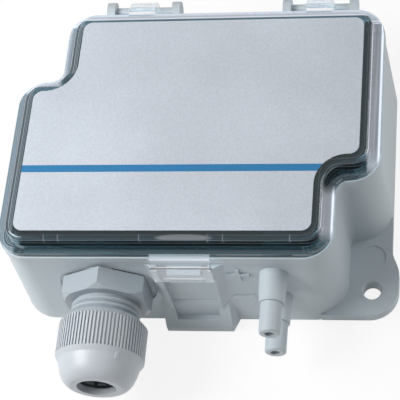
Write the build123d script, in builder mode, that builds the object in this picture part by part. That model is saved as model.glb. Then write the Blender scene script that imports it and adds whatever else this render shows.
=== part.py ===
"""Wall-mounted differential pressure transmitter, built piece by piece.

The housing lies on its back. The origin is the centre of the flat back face,
+X points right, +Y points up the wall towards the lid's hinges, and +Z points
out of the wall towards the lid's flat front. All sizes are in millimetres.
"""
import os
from math import cos, pi, radians, sin, sqrt, tan

from build123d import *

os.makedirs("parts", exist_ok=True)

# Housing, measured at its flat back and at its open rim
base_width = 90.0
base_height = 68.5
rim_height = 31.3
draft_angle = 3.0
wall_thickness = 2.4
floor_thickness = 2.5
corner_radius = 6.6
notch_width = 9.9
notch_height = 19.4
notch_radius = 3.2
band_height = 2.6
band_proud = 0.35
back_edge_radius = 0.6

# Mounting ears, one in each notch
ear_thickness = 3.4
ear_reach = 1.75
ear_length = 10.5
ear_blend_length = 7.0
ear_corner_radius = 7.0
screw_hole_radius = 2.15
screw_hole_chamfer = 0.35
screw_spacing_x = 80.8
screw_spacing_y = 55.6
pin_mark_radius = 3.1
pin_mark_depth = 0.2
pin_mark_gap = 8.8

# Lid
flange_thickness = 1.6
flange_width = 2.0
lid_height = 4.5
lid_wall = 1.8
lid_draft = 5.0
lid_edge_radius = 1.0
lid_lip_height = 1.2
lid_lip_thickness = 1.0
lid_lip_clearance = 0.5
lid_rib_width = 0.5
lid_rib_depth = 0.5
lid_rib_places = [-31.5, -28.2, -9.5, 6.0, 9.5, 24.5]
label_thickness = 0.2
label_margin = 1.1

# Gasket in the housing's rim
gasket_width = 1.0
gasket_depth = 0.9
gasket_inset = 0.9

# Hinges on the top edge
rod_radius = 1.15
hook_clearance = 0.08
hook_thickness = 1.2
hook_width = 6.4
hook_arm_thickness = 1.1
hook_start_angle = -50.0
hook_end_angle = 125.0
lug_radius = 2.5
lug_width = 2.0
lug_drop = 7.0
rod_drop = 1.9
hinge_gap = 14.3
rod_reach = 3.0
hinge_offset = 21.9
hinge_centre_x = 5.8

# Latch tab on the lid, and its catch on the housing
latch_centre_x = -0.5
latch_width = 13.8
latch_length = 8.8
latch_thickness = 1.2
latch_gap = 0.15
latch_edge_radius = 2.2
latch_bend_radius = 1.0
latch_bead_height = 0.6
latch_bead_depth = 0.35
latch_bead_width = 9.4
cheek_proud = 1.15
cheek_front_width = 1.0
cheek_drop = 3.1
cheek_flare_top = 2.2
cheek_flare_foot = 1.4
cheek_narrowing = 0.8
wedge_top = 10.5
wedge_lip = 2.1
wedge_reach = 3.0
wedge_top_proud = 0.15
wedge_front_left = 8.2
wedge_front_right = 7.9
wedge_left_flare = 0.5
wedge_right_flare = 1.8
recess_foot = 4.6
recess_rise = 15.0
recess_proud = 0.9
nib_width = 7.8
nib_height = 1.3
nib_proud = 0.9
nib_drop = 5.0

# Pressure ports, moulded on the housing's lower wall
port_side_gap = 13.85
port_rim_gap = 7.9
port_board_gap = 3.4
port_root_radius = 3.2
port_shoulder_radius = 2.95
port_tip_radius = 2.5
port_shoulder_reach = 7.8
port_reach = 15.1
port_bore_radius = 1.15
port_tip_round = 0.5
spigot_radius = 1.9
spigot_length = 5.5
mark_gap = 8.2
mark_size = 5.4
mark_stroke = 1.0
mark_proud = 0.4

# Cable gland, size M16, on the housing's lower wall
gland_latch_gap = 19.5
gland_rise = 0.9
gland_thread_radius = 8.0
gland_hole_clearance = 0.15
gland_seat_depth = 0.35
gland_seat_clearance = 0.4
gland_hex_flats = 19.0
gland_hex_length = 5.0
gland_hex_front_radius = 9.7
gland_hex_chamfer = 1.2
gland_undercut_radius = 7.4
gland_undercut_length = 0.5
gland_neck_radius = 8.0
gland_neck_length = 11.0
gland_bore_radius = 5.6
neck_rings = 3
neck_ring_pitch = 1.4
washer_thickness = 0.4
washer_radius = 9.3
claw_count = 10
claw_length = 6.8
claw_tip_radius = 5.3
claw_room = 0.7
claw_thickness = 1.3
claw_slot = 0.9
seal_bore_radius = 3.5
seal_fit = 0.05
seal_length = 4.0
claw_tip_gap = 0.6
nut_fit = 0.06
nut_radius = 10.25
nut_back_radius = 8.7
nut_back_gap = 4.15
nut_back_chamfer = 1.6
nut_band_length = 7.85
nut_shoulder_length = 1.2
nut_shoulder_step = 0.8
nut_dome_length = 5.5
nut_tip_radius = 6.0
nut_hole_radius = 4.5
nut_wall = 1.6
rib_count = 76
rib_depth = 0.35
locknut_thickness = 4.5
locknut_spare = 1.0
inner_pad_radius = 11.5
inner_pad_proud = 0.7

# Circuit board and what it carries
board_side_gap = 2.06
board_hinge_gap = 2.2
board_gland_gap = 2.75
board_thickness = 1.6
board_lift = 5.0
board_corner_radius = 1.5
boss_radius = 3.0
boss_inset = 3.2
board_screw_radius = 1.25
board_screw_length = 6.0
board_screw_head_radius = 2.6
board_screw_head_height = 1.8
screw_slot_width = 0.6
terminal_count = 4
terminal_pitch = 5.08
terminal_depth = 10.0
terminal_height = 12.0
terminal_screw_gap = 0.9
terminal_edge_gap = 2.5
wire_hole_share = 0.72
screw_well_share = 0.38
sensor_width = 12.0
sensor_depth = 12.0
sensor_cover = 3.2
sensor_edge_gap = 8.0
nozzle_length = 5.0
tube_wall = 1.0
tube_overlap = 3.5
button_x = -1.0
button_edge_gap = 12.0
button_size = 6.2
button_case_height = 3.4
plunger_radius = 1.75
plunger_height = 3.0
plunger_travel = 0.5
plunger_clearance = 0.05
header_side_gap = 14.0
header_edge_gap = 19.0
header_columns = 4
header_pitch = 2.54
header_base_height = 2.5
pin_width = 0.64
pin_height = 8.5
jumper_height = 6.0
chip_x = 4.0
chip_drop = 1.0
chip_lead_reach = 1.0
lead_thickness = 0.3
chip_size = 7.0
chip_height = 1.4
chip_lead_count = 8
capacitor_radius = 3.15
capacitor_height = 6.0
capacitor_foot = 0.8
capacitor_x = 6.0
capacitor_edge_gap = 10.0
led_x = 9.0
led_edge_gap = 11.0
led_length = 2.0
led_width = 1.25
led_height = 1.0
regulator_length = 6.5
regulator_width = 3.5
regulator_height = 1.6
regulator_lead_pitch = 2.3
regulator_side_gap = 7.0
regulator_edge_gap = 9.0
component_length = 1.6
component_width = 0.8
component_height = 0.6
component_offsets = [
    (-10, -6), (-6, -6), (-2, -6), (12, 1), (12, 4), (12, 7),
    (-10, 14), (-10, 16), (-6, 16), (16, 11), (16, 14), (20, 5),
]

# Values worked out from the sizes above
draft_slope = tan(radians(draft_angle))
rim_half_width = base_width / 2 - rim_height * draft_slope
rim_half_height = base_height / 2 - rim_height * draft_slope
lid_top = rim_height + lid_height
flange_top = rim_height + flange_thickness
crown_height = lid_height - flange_thickness
crown_top_inset = flange_width + crown_height * tan(radians(lid_draft))
label_inset = crown_top_inset + lid_edge_radius + label_margin
rod_y = rim_half_height + rod_reach
rod_z = rim_height - rod_drop
board_bottom = floor_thickness + board_lift
board_top = board_bottom + board_thickness
cheek_top = rim_height - cheek_drop
nib_top = rim_height - nib_drop
port_x = rim_half_width - notch_width - port_side_gap
port_high_z = rim_height - port_rim_gap
port_low_z = board_top + port_board_gap
port_shoulder_y = -(rim_half_height + port_shoulder_reach)
port_tip_y = -(rim_half_height + port_reach)
mark_x = port_x - mark_gap
gland_x = latch_centre_x - gland_latch_gap
gland_z = (floor_thickness + rim_height - lid_lip_height) / 2 + gland_rise
touch = 0.01


def wall_y(height):
    """Distance of the drafted outer wall from the X axis at a height above the back."""
    return rim_half_height + (rim_height - height) * draft_slope


def at_points(points):
    """A test that tells whether a vertex lies on one of the points."""
    return lambda v: any(abs(v.X - x) < touch and abs(v.Y - y) < touch for x, y in points)


def housing_outline(inset):
    """The stepped outline of the rim, moved inwards by inset."""
    side = rim_half_width - inset
    end = rim_half_height - inset
    step_x = rim_half_width - notch_width - inset
    step_y = rim_half_height - notch_height - inset
    inner_corners = [(step_x, -step_y), (-step_x, step_y)]
    outer_corners = [
        (-side, -end), (step_x, -end), (side, -step_y),
        (side, end), (-step_x, end), (-side, step_y),
    ]
    path = outer_corners[:2] + inner_corners[:1] + outer_corners[2:5] + inner_corners[1:] + outer_corners[5:]
    with BuildSketch() as sketch:
        with BuildLine():
            Polyline(*path, close=True)
        make_face()
        fillet(sketch.vertices().filter_by(at_points(inner_corners)), radius=notch_radius + inset)
        fillet(sketch.vertices().filter_by(at_points(outer_corners)), radius=corner_radius - inset)
    return sketch.sketch


def ear_outline(side):
    """The plate of one ear: side is 1 for the lower right ear, -1 for the upper left one."""
    outer = base_width / 2 + ear_reach
    end = base_height / 2
    inner = base_width / 2 - notch_width - corner_radius
    straight_end = end - ear_length
    blend_end = straight_end - ear_blend_length
    plate_end = end - notch_height - corner_radius
    corner = (outer, -end)
    with BuildSketch() as sketch:
        with BuildLine():
            Polyline((inner, -end), corner, (outer, -straight_end))
            Spline(
                (outer, -straight_end), (outer - ear_reach, -blend_end),
                tangents=[(0, 1), (0, 1)],
            )
            Polyline(
                (outer - ear_reach, -blend_end), (outer - ear_reach, -plate_end),
                (inner, -plate_end), (inner, -end),
            )
        make_face()
        fillet(sketch.vertices().filter_by(at_points([corner])), radius=ear_corner_radius)
    return sketch.sketch if side > 0 else sketch.sketch.rotate(Axis.Z, 180)


def revolved(profile, axis_x, axis_z):
    """A solid of revolution about a line along Y; the profile holds (radius, y) points."""
    with BuildPart() as body:
        with BuildSketch(Plane((axis_x, 0, axis_z))):
            with BuildLine():
                Polyline(*profile, close=True)
            make_face()
        revolve(axis=Axis((axis_x, 0, axis_z), (0, 1, 0)))
    return body.part


def port_solid(height):
    """The outside of one pressure port, from inside the wall out to its rounded tip."""
    root = -wall_y(height)
    inside = root + wall_thickness + spigot_length
    with BuildPart() as port:
        with BuildSketch(Plane((port_x, 0, height))):
            with BuildLine():
                Polyline(
                    (0, inside), (spigot_radius, inside), (spigot_radius, root + wall_thickness),
                    (port_root_radius, root + wall_thickness), (port_root_radius, root),
                    (port_shoulder_radius, port_shoulder_y), (port_tip_radius, port_shoulder_y),
                    (port_tip_radius, port_tip_y), (0, port_tip_y), close=True,
                )
            make_face()
        revolve(axis=Axis((port_x, 0, height), (0, 1, 0)))
        fillet(port.edges().filter_by(GeomType.CIRCLE).sort_by(Axis.Y)[0], radius=port_tip_round)
    return port.part


def hexagon_prism(flats, start_y, length, turn):
    """A hexagonal prism along the gland's axis; turn is the angle of one corner in degrees."""
    face = Plane((gland_x, start_y, gland_z), x_dir=(1, 0, 0), z_dir=(0, -1, 0))
    with BuildPart() as prism:
        with BuildSketch(face):
            RegularPolygon(radius=flats / 2, side_count=6, major_radius=False, rotation=turn)
        extrude(amount=length)
    return prism.part


def hinge_centres():
    """The X places of the two hinges."""
    return [hinge_centre_x - hinge_offset, hinge_centre_x + hinge_offset]


# Seats of the gland on the drafted wall, and the board's edges
gland_seat_y = -(wall_y(gland_z) - gland_seat_depth)
inner_seat_y = -(wall_y(gland_z) - wall_thickness - inner_pad_proud)
gland_axis = Axis((gland_x, 0, gland_z), (0, 1, 0))
hex_back_y = gland_seat_y - washer_thickness
hex_front_y = hex_back_y - gland_hex_length
neck_end_y = hex_front_y - gland_neck_length
nut_back_y = hex_front_y - nut_back_gap
nut_band_start_y = nut_back_y - nut_back_chamfer
nut_band_end_y = nut_band_start_y - nut_band_length
nut_dome_start_y = nut_band_end_y - nut_shoulder_length
nut_tip_y = nut_dome_start_y - nut_dome_length
seat_facing = Plane((gland_x, gland_seat_y, gland_z), x_dir=(1, 0, 0), z_dir=(0, -1, 0))
inner_facing = Plane((gland_x, inner_seat_y, gland_z), x_dir=(1, 0, 0), z_dir=(0, -1, 0))
hex_corner_radius = gland_hex_flats / sqrt(3)
body_end_y = inner_seat_y + locknut_thickness + locknut_spare
board_low = body_end_y + board_gland_gap
board_high = rim_half_height - wall_thickness - board_hinge_gap
board_width = 2 * (rim_half_width - notch_width - wall_thickness - board_side_gap)
board_height = board_high - board_low
board_centre_y = (board_high + board_low) / 2

# Base housing: drafted box with ears, hinge lugs, catch, ports, bosses and marks
with BuildPart() as base_housing:
    with BuildSketch():
        add(housing_outline(-rim_height * draft_slope))
    extrude(amount=rim_height, taper=draft_angle)
    with BuildSketch():
        add(ear_outline(1))
        add(ear_outline(-1))
    extrude(amount=ear_thickness)
    back_edges = base_housing.edges().group_by(Axis.Z)[0]
    fillet(back_edges, radius=back_edge_radius)
    with BuildSketch(Plane.XY.offset(rim_height - band_height)):
        add(housing_outline(-band_proud))
    extrude(amount=band_height)

    # Pressure ports, each one with its spigot inside
    add(port_solid(port_high_z))
    add(port_solid(port_low_z))

    # Cavity, the same distance inside the outer wall all the way down
    cavity_depth = rim_height - floor_thickness
    with BuildSketch(Plane.XY.offset(floor_thickness)):
        add(housing_outline(wall_thickness - cavity_depth * draft_slope))
    extrude(amount=cavity_depth, taper=draft_angle, mode=Mode.SUBTRACT)
    for height in (port_high_z, port_low_z):
        inside = -wall_y(height) + wall_thickness
        with BuildSketch(Plane((port_x, inside - wall_thickness / 2, height), z_dir=(0, 1, 0))):
            Circle(spigot_radius)
        extrude(amount=spigot_length + wall_thickness / 2)

    # Flat seats for the gland outside and for its lock nut inside
    with BuildSketch(inner_facing):
        Circle(inner_pad_radius)
    extrude(amount=wall_thickness)
    with BuildSketch(seat_facing):
        Circle(washer_radius)
    extrude(amount=-wall_thickness)
    with BuildSketch(seat_facing):
        Circle(hex_corner_radius + gland_seat_clearance)
    extrude(amount=wall_thickness, mode=Mode.SUBTRACT)
    with BuildSketch(seat_facing):
        Circle(gland_thread_radius + gland_hole_clearance)
    extrude(amount=-2 * wall_thickness, mode=Mode.SUBTRACT)

    # Screw holes and the shallow round mark beside each one
    hole_spots = [(screw_spacing_x / 2, -screw_spacing_y / 2), (-screw_spacing_x / 2, screw_spacing_y / 2)]
    mark_spots = [(x, y * (1 - 2 * pin_mark_gap / screw_spacing_y)) for x, y in hole_spots]
    with BuildSketch():
        with Locations(*hole_spots):
            Circle(screw_hole_radius)
    extrude(amount=ear_thickness, mode=Mode.SUBTRACT)
    with BuildSketch(Plane.XY.offset(ear_thickness)):
        with Locations(*mark_spots):
            Circle(pin_mark_radius)
    extrude(amount=-pin_mark_depth, mode=Mode.SUBTRACT)
    ear_top_edges = base_housing.edges().filter_by(GeomType.CIRCLE).filter_by(
        lambda e: abs(e.radius - screw_hole_radius) < touch and abs(e.center().Z - ear_thickness) < touch
    )
    chamfer(ear_top_edges, length=screw_hole_chamfer)

    # Hinge lugs and rods
    for centre in hinge_centres():
        lug_starts = [centre - hinge_gap / 2 - lug_width, centre + hinge_gap / 2]
        for start in lug_starts:
            with BuildSketch(Plane.YZ.offset(start)):
                with Locations((rod_y, rod_z)):
                    Circle(lug_radius)
                with BuildLine():
                    Polyline(
                        (rim_half_height - wall_thickness / 2, rim_height - touch),
                        (rim_half_height + 0.6, rim_height - touch),
                        (rod_y - 0.6, rod_z + lug_radius * 0.97),
                        (rod_y + lug_radius * 0.87, rod_z - lug_radius * 0.5),
                        (rim_half_height - wall_thickness / 2, rod_z - lug_drop),
                        close=True,
                    )
                make_face()
            extrude(amount=lug_width)
        with BuildSketch(Plane.YZ.offset(centre - hinge_gap / 2)):
            with Locations((rod_y, rod_z)):
                Circle(rod_radius)
        extrude(amount=hinge_gap)

    # Groove for the gasket
    with BuildSketch(Plane.XY.offset(rim_height)):
        add(housing_outline(gasket_inset))
        add(housing_outline(gasket_inset + gasket_width), mode=Mode.SUBTRACT)
    extrude(amount=-gasket_depth, mode=Mode.SUBTRACT)

    # Catch: a wedge with a finger recess, two flared cheeks and a nib behind the latch tab
    wedge_left = latch_centre_x - wedge_front_left
    wedge_right = latch_centre_x + wedge_front_right
    wedge_face = -(base_height / 2 + wedge_reach)
    for low, high, low_face, high_face in (
        (0, wedge_lip, wedge_face, wedge_face),
        (wedge_lip, wedge_top, wedge_face, -(wall_y(wedge_top) + wedge_top_proud)),
    ):
        for height, face in ((low, low_face), (high, high_face)):
            back = -(wall_y(height) - wall_thickness / 2)
            with BuildSketch(Plane.XY.offset(height)):
                with BuildLine():
                    Polyline(
                        (wedge_left - wedge_left_flare, back), (wedge_left, face),
                        (wedge_right, face), (wedge_right + wedge_right_flare, back),
                        close=True,
                    )
                make_face()
        loft(ruled=True)
    for height, half, proud in (
        (recess_foot, latch_width / 2 - cheek_narrowing - cheek_front_width, recess_proud),
        (recess_foot + recess_rise, latch_width / 2 - cheek_narrowing / 4 - cheek_front_width, 0),
    ):
        with BuildSketch(Plane.XY.offset(height)):
            with BuildLine():
                Polyline(
                    (latch_centre_x - half, -(wall_y(height) + proud)),
                    (latch_centre_x - half, -(base_height / 2 + 2 * wedge_reach)),
                    (latch_centre_x + half, -(base_height / 2 + 2 * wedge_reach)),
                    (latch_centre_x + half, -(wall_y(height) + proud)),
                    close=True,
                )
            make_face()
    loft(ruled=True, mode=Mode.SUBTRACT)
    for side in (-1, 1):
        for height, narrowing, flare in (
            (wedge_lip, cheek_narrowing, cheek_flare_foot),
            (cheek_top, 0, cheek_flare_top),
        ):
            outer = latch_width / 2 - narrowing
            inner = outer - cheek_front_width
            front = -(wall_y(height) + cheek_proud)
            back = -(wall_y(height) - wall_thickness / 2)
            flared = outer + flare * (1 + wall_thickness / 2 / cheek_proud)
            with BuildSketch(Plane.XY.offset(height)):
                with BuildLine():
                    Polyline(
                        (latch_centre_x + side * inner, back),
                        (latch_centre_x + side * inner, front),
                        (latch_centre_x + side * outer, front),
                        (latch_centre_x + side * flared, back),
                        close=True,
                    )
                make_face()
        loft(ruled=True)
    with BuildSketch(Plane.YZ.offset(latch_centre_x - nib_width / 2)):
        with BuildLine():
            nib_face = -(wall_y(nib_top) + nib_proud)
            Polyline(
                (-(wall_y(nib_top) - wall_thickness / 2), nib_top + nib_proud),
                (-wall_y(nib_top), nib_top + nib_proud),
                (nib_face, nib_top),
                (nib_face, nib_top - nib_height),
                (-(wall_y(nib_top) - wall_thickness / 2), nib_top - nib_height),
                close=True,
            )
        make_face()
    extrude(amount=nib_width)

    # Raised plus and minus beside the ports
    for height, upright in ((port_high_z, True), (port_low_z, False)):
        mark_plane = Plane(
            (mark_x, -wall_y(height), height), x_dir=(1, 0, 0),
            z_dir=(0, -cos(radians(draft_angle)), sin(radians(draft_angle))),
        )
        with BuildSketch(mark_plane.offset(-wall_thickness / 2)):
            Rectangle(mark_size, mark_stroke)
            if upright:
                Rectangle(mark_stroke, mark_size)
        extrude(amount=wall_thickness / 2 + mark_proud)

    # Bosses for the circuit board
    boss_spots = [
        (sx * (board_width / 2 - boss_inset), board_centre_y + sy * (board_height / 2 - boss_inset))
        for sx in (-1, 1) for sy in (-1, 1)
    ]
    with BuildSketch(Plane.XY.offset(floor_thickness - touch)):
        with Locations(*boss_spots):
            Circle(boss_radius)
    extrude(amount=board_lift + touch)
    with BuildSketch(Plane.XY.offset(board_bottom)):
        with Locations(*boss_spots):
            Circle(board_screw_radius)
    extrude(amount=-(board_screw_length - board_thickness + 0.2), mode=Mode.SUBTRACT)

    # Port bores, from the tips to the ends of the inner spigots
    for height in (port_high_z, port_low_z):
        with BuildSketch(Plane((port_x, port_tip_y, height), z_dir=(0, 1, 0))):
            Circle(port_bore_radius)
        extrude(amount=-port_tip_y - wall_y(height) + wall_thickness + spigot_length, mode=Mode.SUBTRACT)

# Gasket lying in the groove of the rim
with BuildPart() as lid_gasket:
    with BuildSketch(Plane.XY.offset(rim_height - gasket_depth)):
        add(housing_outline(gasket_inset))
        add(housing_outline(gasket_inset + gasket_width), mode=Mode.SUBTRACT)
    extrude(amount=gasket_depth)

# Lid: flange, crown, lip, hooks and snap tab in one moulding
latch_inner_y = -(wall_y(flange_top - latch_length) + cheek_proud + latch_gap)
latch_outer_y = latch_inner_y - latch_thickness
with BuildPart() as lid:
    with BuildSketch(Plane.XY.offset(rim_height)):
        add(housing_outline(0))
    extrude(amount=flange_thickness)
    with BuildSketch(Plane.XY.offset(flange_top)):
        add(housing_outline(flange_width))
    extrude(amount=crown_height, taper=lid_draft)
    fillet(lid.edges().group_by(Axis.Z)[-1], radius=lid_edge_radius)
    with BuildSketch(Plane.XY.offset(rim_height)):
        add(housing_outline(flange_width + lid_wall))
    extrude(amount=lid_height - lid_wall, taper=lid_draft, mode=Mode.SUBTRACT)
    lip_inset = wall_thickness + lid_lip_clearance
    with BuildSketch(Plane.XY.offset(rim_height - lid_lip_height)):
        add(housing_outline(lip_inset))
        add(housing_outline(lip_inset + lid_lip_thickness), mode=Mode.SUBTRACT)
    extrude(amount=lid_lip_height + flange_thickness / 2)

    # Hooks that clip round the hinge rods
    hook_inner = rod_radius + hook_clearance
    hook_outer = hook_inner + hook_thickness
    for centre in hinge_centres():
        with BuildSketch(Plane.YZ.offset(centre - hook_width / 2)):
            with Locations((rod_y, rod_z)):
                Circle(hook_outer)
            with BuildLine():
                opening = [radians(hook_start_angle), radians((hook_start_angle + hook_end_angle) / 2 - 180)]
                opening.append(radians(hook_end_angle - 360))
                Polyline(
                    (rod_y, rod_z),
                    *[(rod_y + 2 * hook_outer * cos(a), rod_z + 2 * hook_outer * sin(a)) for a in opening],
                    close=True,
                )
            make_face(mode=Mode.SUBTRACT)
            with BuildLine():
                Polyline(
                    (rim_half_height - flange_width, rim_height),
                    (rim_half_height - flange_width, rim_height + hook_arm_thickness),
                    (rod_y, rim_height + hook_arm_thickness),
                    (rod_y + hook_outer * sin(radians(50)), rod_z + hook_outer * cos(radians(50))),
                    (rod_y, rod_z),
                    (rim_half_height + band_proud + 0.2, rim_height),
                    close=True,
                )
            make_face()
            with Locations((rod_y, rod_z)):
                Circle(hook_inner, mode=Mode.SUBTRACT)
        extrude(amount=hook_width)

    # Snap tab: a shelf over the catch and a flap in front of it
    with BuildSketch(Plane.YZ.offset(latch_centre_x - latch_width / 2)) as latch_profile:
        with BuildLine():
            Polyline(
                (-(rim_half_height - flange_width), flange_top),
                (latch_outer_y, flange_top),
                (latch_outer_y, flange_top - latch_length),
                (latch_inner_y, flange_top - latch_length),
                (latch_inner_y, flange_top - flange_thickness),
                (-(rim_half_height - flange_width), flange_top - flange_thickness),
                close=True,
            )
        make_face()
        corner = (latch_outer_y, flange_top)
        fillet(latch_profile.vertices().filter_by(at_points([corner])), radius=latch_edge_radius)
        bend = (latch_inner_y, flange_top - flange_thickness)
        fillet(latch_profile.vertices().filter_by(at_points([bend])), radius=latch_bend_radius)
    extrude(amount=latch_width)
    bead_foot = flange_top - latch_length
    with BuildSketch(Plane.YZ.offset(latch_centre_x - latch_bead_width / 2)):
        with BuildLine():
            Polyline(
                (latch_inner_y - latch_bead_depth, bead_foot),
                (latch_inner_y, bead_foot),
                (latch_inner_y + latch_bead_depth, bead_foot + latch_bead_depth),
                (latch_inner_y + latch_bead_depth, bead_foot + latch_bead_height),
                (latch_inner_y - latch_bead_depth, bead_foot + latch_bead_height + 2 * latch_bead_depth),
                close=True,
            )
        make_face()
    extrude(amount=latch_bead_width)

    # Strengthening ribs inside the crown's front and back walls
    for x in lid_rib_places:
        for side in (-1, 1):
            with BuildSketch(Plane.XY.offset(rim_height)):
                with Locations((-side * x, side * (rim_half_height - flange_width - lid_wall))):
                    Rectangle(lid_rib_width, 2 * lid_rib_depth)
            extrude(amount=lid_height - lid_wall)

# Front label, a thin printed plate on the lid's flat top
with BuildPart() as front_label:
    with BuildSketch(Plane.XY.offset(lid_top)):
        add(housing_outline(label_inset))
    extrude(amount=label_thickness)

# Cable gland: washer, body with claws, rubber seal, cap nut and lock nut
with BuildPart() as gland_washer:
    with BuildSketch(seat_facing):
        Circle(washer_radius)
        Circle(gland_thread_radius + seal_fit, mode=Mode.SUBTRACT)
    extrude(amount=washer_thickness)

claw_end_y = neck_end_y - claw_length
undercut_end_y = hex_front_y - gland_undercut_length
with BuildPart() as gland_body:
    add(hexagon_prism(gland_hex_flats, hex_back_y, gland_hex_length, 30))
    add(
        revolved(
            [
                (0, hex_back_y), (hex_corner_radius, hex_back_y),
                (hex_corner_radius, hex_front_y + gland_hex_chamfer),
                (gland_hex_front_radius, hex_front_y), (0, hex_front_y),
            ],
            gland_x, gland_z,
        ),
        mode=Mode.INTERSECT,
    )
    ring_points = [(gland_undercut_radius, undercut_end_y)]
    for ring in range(neck_rings):
        ring_start = undercut_end_y - ring * neck_ring_pitch
        ring_points += [
            (gland_neck_radius, ring_start - 0.3 * neck_ring_pitch),
            (gland_neck_radius, ring_start - 0.7 * neck_ring_pitch),
            (gland_undercut_radius, ring_start - neck_ring_pitch),
        ]
    add(
        revolved(
            [
                (gland_bore_radius, body_end_y), (gland_thread_radius, body_end_y),
                (gland_thread_radius, hex_back_y), (gland_undercut_radius, hex_back_y),
                *ring_points,
                (gland_neck_radius, ring_points[-1][1]), (gland_neck_radius, neck_end_y),
                (gland_bore_radius + claw_thickness, neck_end_y),
                (claw_tip_radius, claw_end_y), (claw_tip_radius - claw_thickness, claw_end_y),
                (gland_bore_radius, neck_end_y),
            ],
            gland_x, gland_z,
        )
    )
    with BuildSketch(Plane((gland_x, hex_back_y, gland_z), z_dir=(0, -1, 0))):
        Circle(gland_bore_radius)
    extrude(amount=gland_hex_length + gland_undercut_length, mode=Mode.SUBTRACT)
    with BuildSketch(Plane((gland_x, neck_end_y, gland_z), x_dir=(1, 0, 0), z_dir=(0, -1, 0))):
        with PolarLocations(0, claw_count):
            with Locations((gland_bore_radius, 0)):
                Rectangle(3 * claw_thickness, claw_slot)
    extrude(amount=claw_length, mode=Mode.SUBTRACT)

claw_narrowing = (gland_bore_radius + claw_thickness - claw_tip_radius) / claw_length
seal_tip_radius = gland_bore_radius - seal_fit - claw_narrowing * (claw_length - claw_tip_gap)
with BuildPart() as gland_seal:
    add(
        revolved(
            [
                (seal_bore_radius, neck_end_y + seal_length),
                (gland_bore_radius - seal_fit, neck_end_y + seal_length),
                (gland_bore_radius - seal_fit, neck_end_y),
                (seal_tip_radius, claw_end_y + claw_tip_gap), (seal_bore_radius, claw_end_y + claw_tip_gap),
            ],
            gland_x, gland_z,
        )
    )

with BuildPart() as gland_nut:
    nut_inner = gland_neck_radius + nut_fit
    dome_bulge = nut_radius - nut_shoulder_step
    with BuildSketch(Plane((gland_x, 0, gland_z))):
        with BuildLine():
            Polyline(
                (nut_hole_radius, nut_tip_y), (nut_hole_radius, nut_tip_y + nut_wall),
                (claw_tip_radius + claw_room, nut_tip_y + nut_wall), (nut_inner, nut_band_end_y),
                (nut_inner, nut_back_y), (nut_back_radius, nut_back_y), (nut_radius, nut_band_start_y),
                (nut_radius, nut_band_end_y), (dome_bulge, nut_dome_start_y),
            )
            Spline(
                (dome_bulge, nut_dome_start_y), (nut_tip_radius, nut_tip_y),
                tangents=[(-0.25, -1), (-1, -0.25)],
            )
            Line((nut_tip_radius, nut_tip_y), (nut_hole_radius, nut_tip_y))
        make_face()
    revolve(axis=gland_axis)
    groove_width = 2 * pi * nut_radius / rib_count / 2
    with BuildSketch(Plane((gland_x, nut_back_y, gland_z), x_dir=(1, 0, 0), z_dir=(0, -1, 0))):
        with PolarLocations(nut_radius, rib_count):
            Rectangle(2 * rib_depth, groove_width)
    extrude(amount=nut_back_chamfer + nut_band_length, mode=Mode.SUBTRACT)

with BuildPart() as gland_locknut:
    add(hexagon_prism(gland_hex_flats, inner_seat_y + locknut_thickness, locknut_thickness, 0))
    with BuildSketch(inner_facing):
        Circle(gland_thread_radius + seal_fit)
    extrude(amount=-locknut_thickness, mode=Mode.SUBTRACT)

# Circuit board on four bosses, with its screws
with BuildPart() as circuit_board:
    with BuildSketch(Plane.XY.offset(board_bottom)):
        with Locations((0, board_centre_y)):
            RectangleRounded(board_width, board_height, board_corner_radius)
        with Locations(*boss_spots):
            Circle(board_screw_radius + 0.1, mode=Mode.SUBTRACT)
    extrude(amount=board_thickness)

with BuildPart() as board_screws:
    with BuildSketch(Plane.XY.offset(board_top)):
        with Locations(*boss_spots):
            Circle(board_screw_head_radius)
    extrude(amount=board_screw_head_height)
    with BuildSketch(Plane.XY.offset(board_top)):
        with Locations(*boss_spots):
            Circle(board_screw_radius)
    extrude(amount=-board_screw_length)
    with BuildSketch(Plane.XY.offset(board_top + board_screw_head_height)):
        with Locations(*boss_spots):
            Rectangle(board_screw_head_radius * 1.4, screw_slot_width)
            Rectangle(screw_slot_width, board_screw_head_radius * 1.4)
    extrude(amount=-board_screw_head_height / 2, mode=Mode.SUBTRACT)

# Terminal block with its clamps and screws
terminal_width = terminal_count * terminal_pitch
terminal_x = boss_spots[0][0] + board_screw_head_radius + terminal_screw_gap + terminal_width / 2
terminal_y = board_low + terminal_edge_gap + terminal_depth / 2
terminal_xs = [terminal_x + (i - (terminal_count - 1) / 2) * terminal_pitch for i in range(terminal_count)]
terminal_front = terminal_y - terminal_depth / 2
terminal_top = board_top + terminal_height
well_radius = terminal_pitch * screw_well_share
cage_size = terminal_pitch * wire_hole_share
cage_centre_z = board_top + terminal_height * 0.3
with BuildPart() as terminal_block:
    with BuildSketch(Plane.XY.offset(board_top)):
        with Locations((terminal_x, terminal_y)):
            Rectangle(terminal_width, terminal_depth)
    extrude(amount=terminal_height)
    front_top = terminal_block.edges().filter_by(Axis.X).group_by(Axis.Z)[-1].sort_by(Axis.Y)[0]
    chamfer(front_top, length=terminal_depth * 0.2)
    with BuildSketch(Plane((0, terminal_front, 0), x_dir=(1, 0, 0), z_dir=(0, -1, 0))):
        with Locations(*[(x, cage_centre_z) for x in terminal_xs]):
            Rectangle(cage_size, cage_size)
    extrude(amount=-terminal_depth * 0.75, mode=Mode.SUBTRACT)
    with BuildSketch(Plane.XY.offset(terminal_top)):
        with Locations(*[(x, terminal_y) for x in terminal_xs]):
            Circle(well_radius)
    extrude(amount=-(terminal_top - cage_centre_z), mode=Mode.SUBTRACT)

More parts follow.
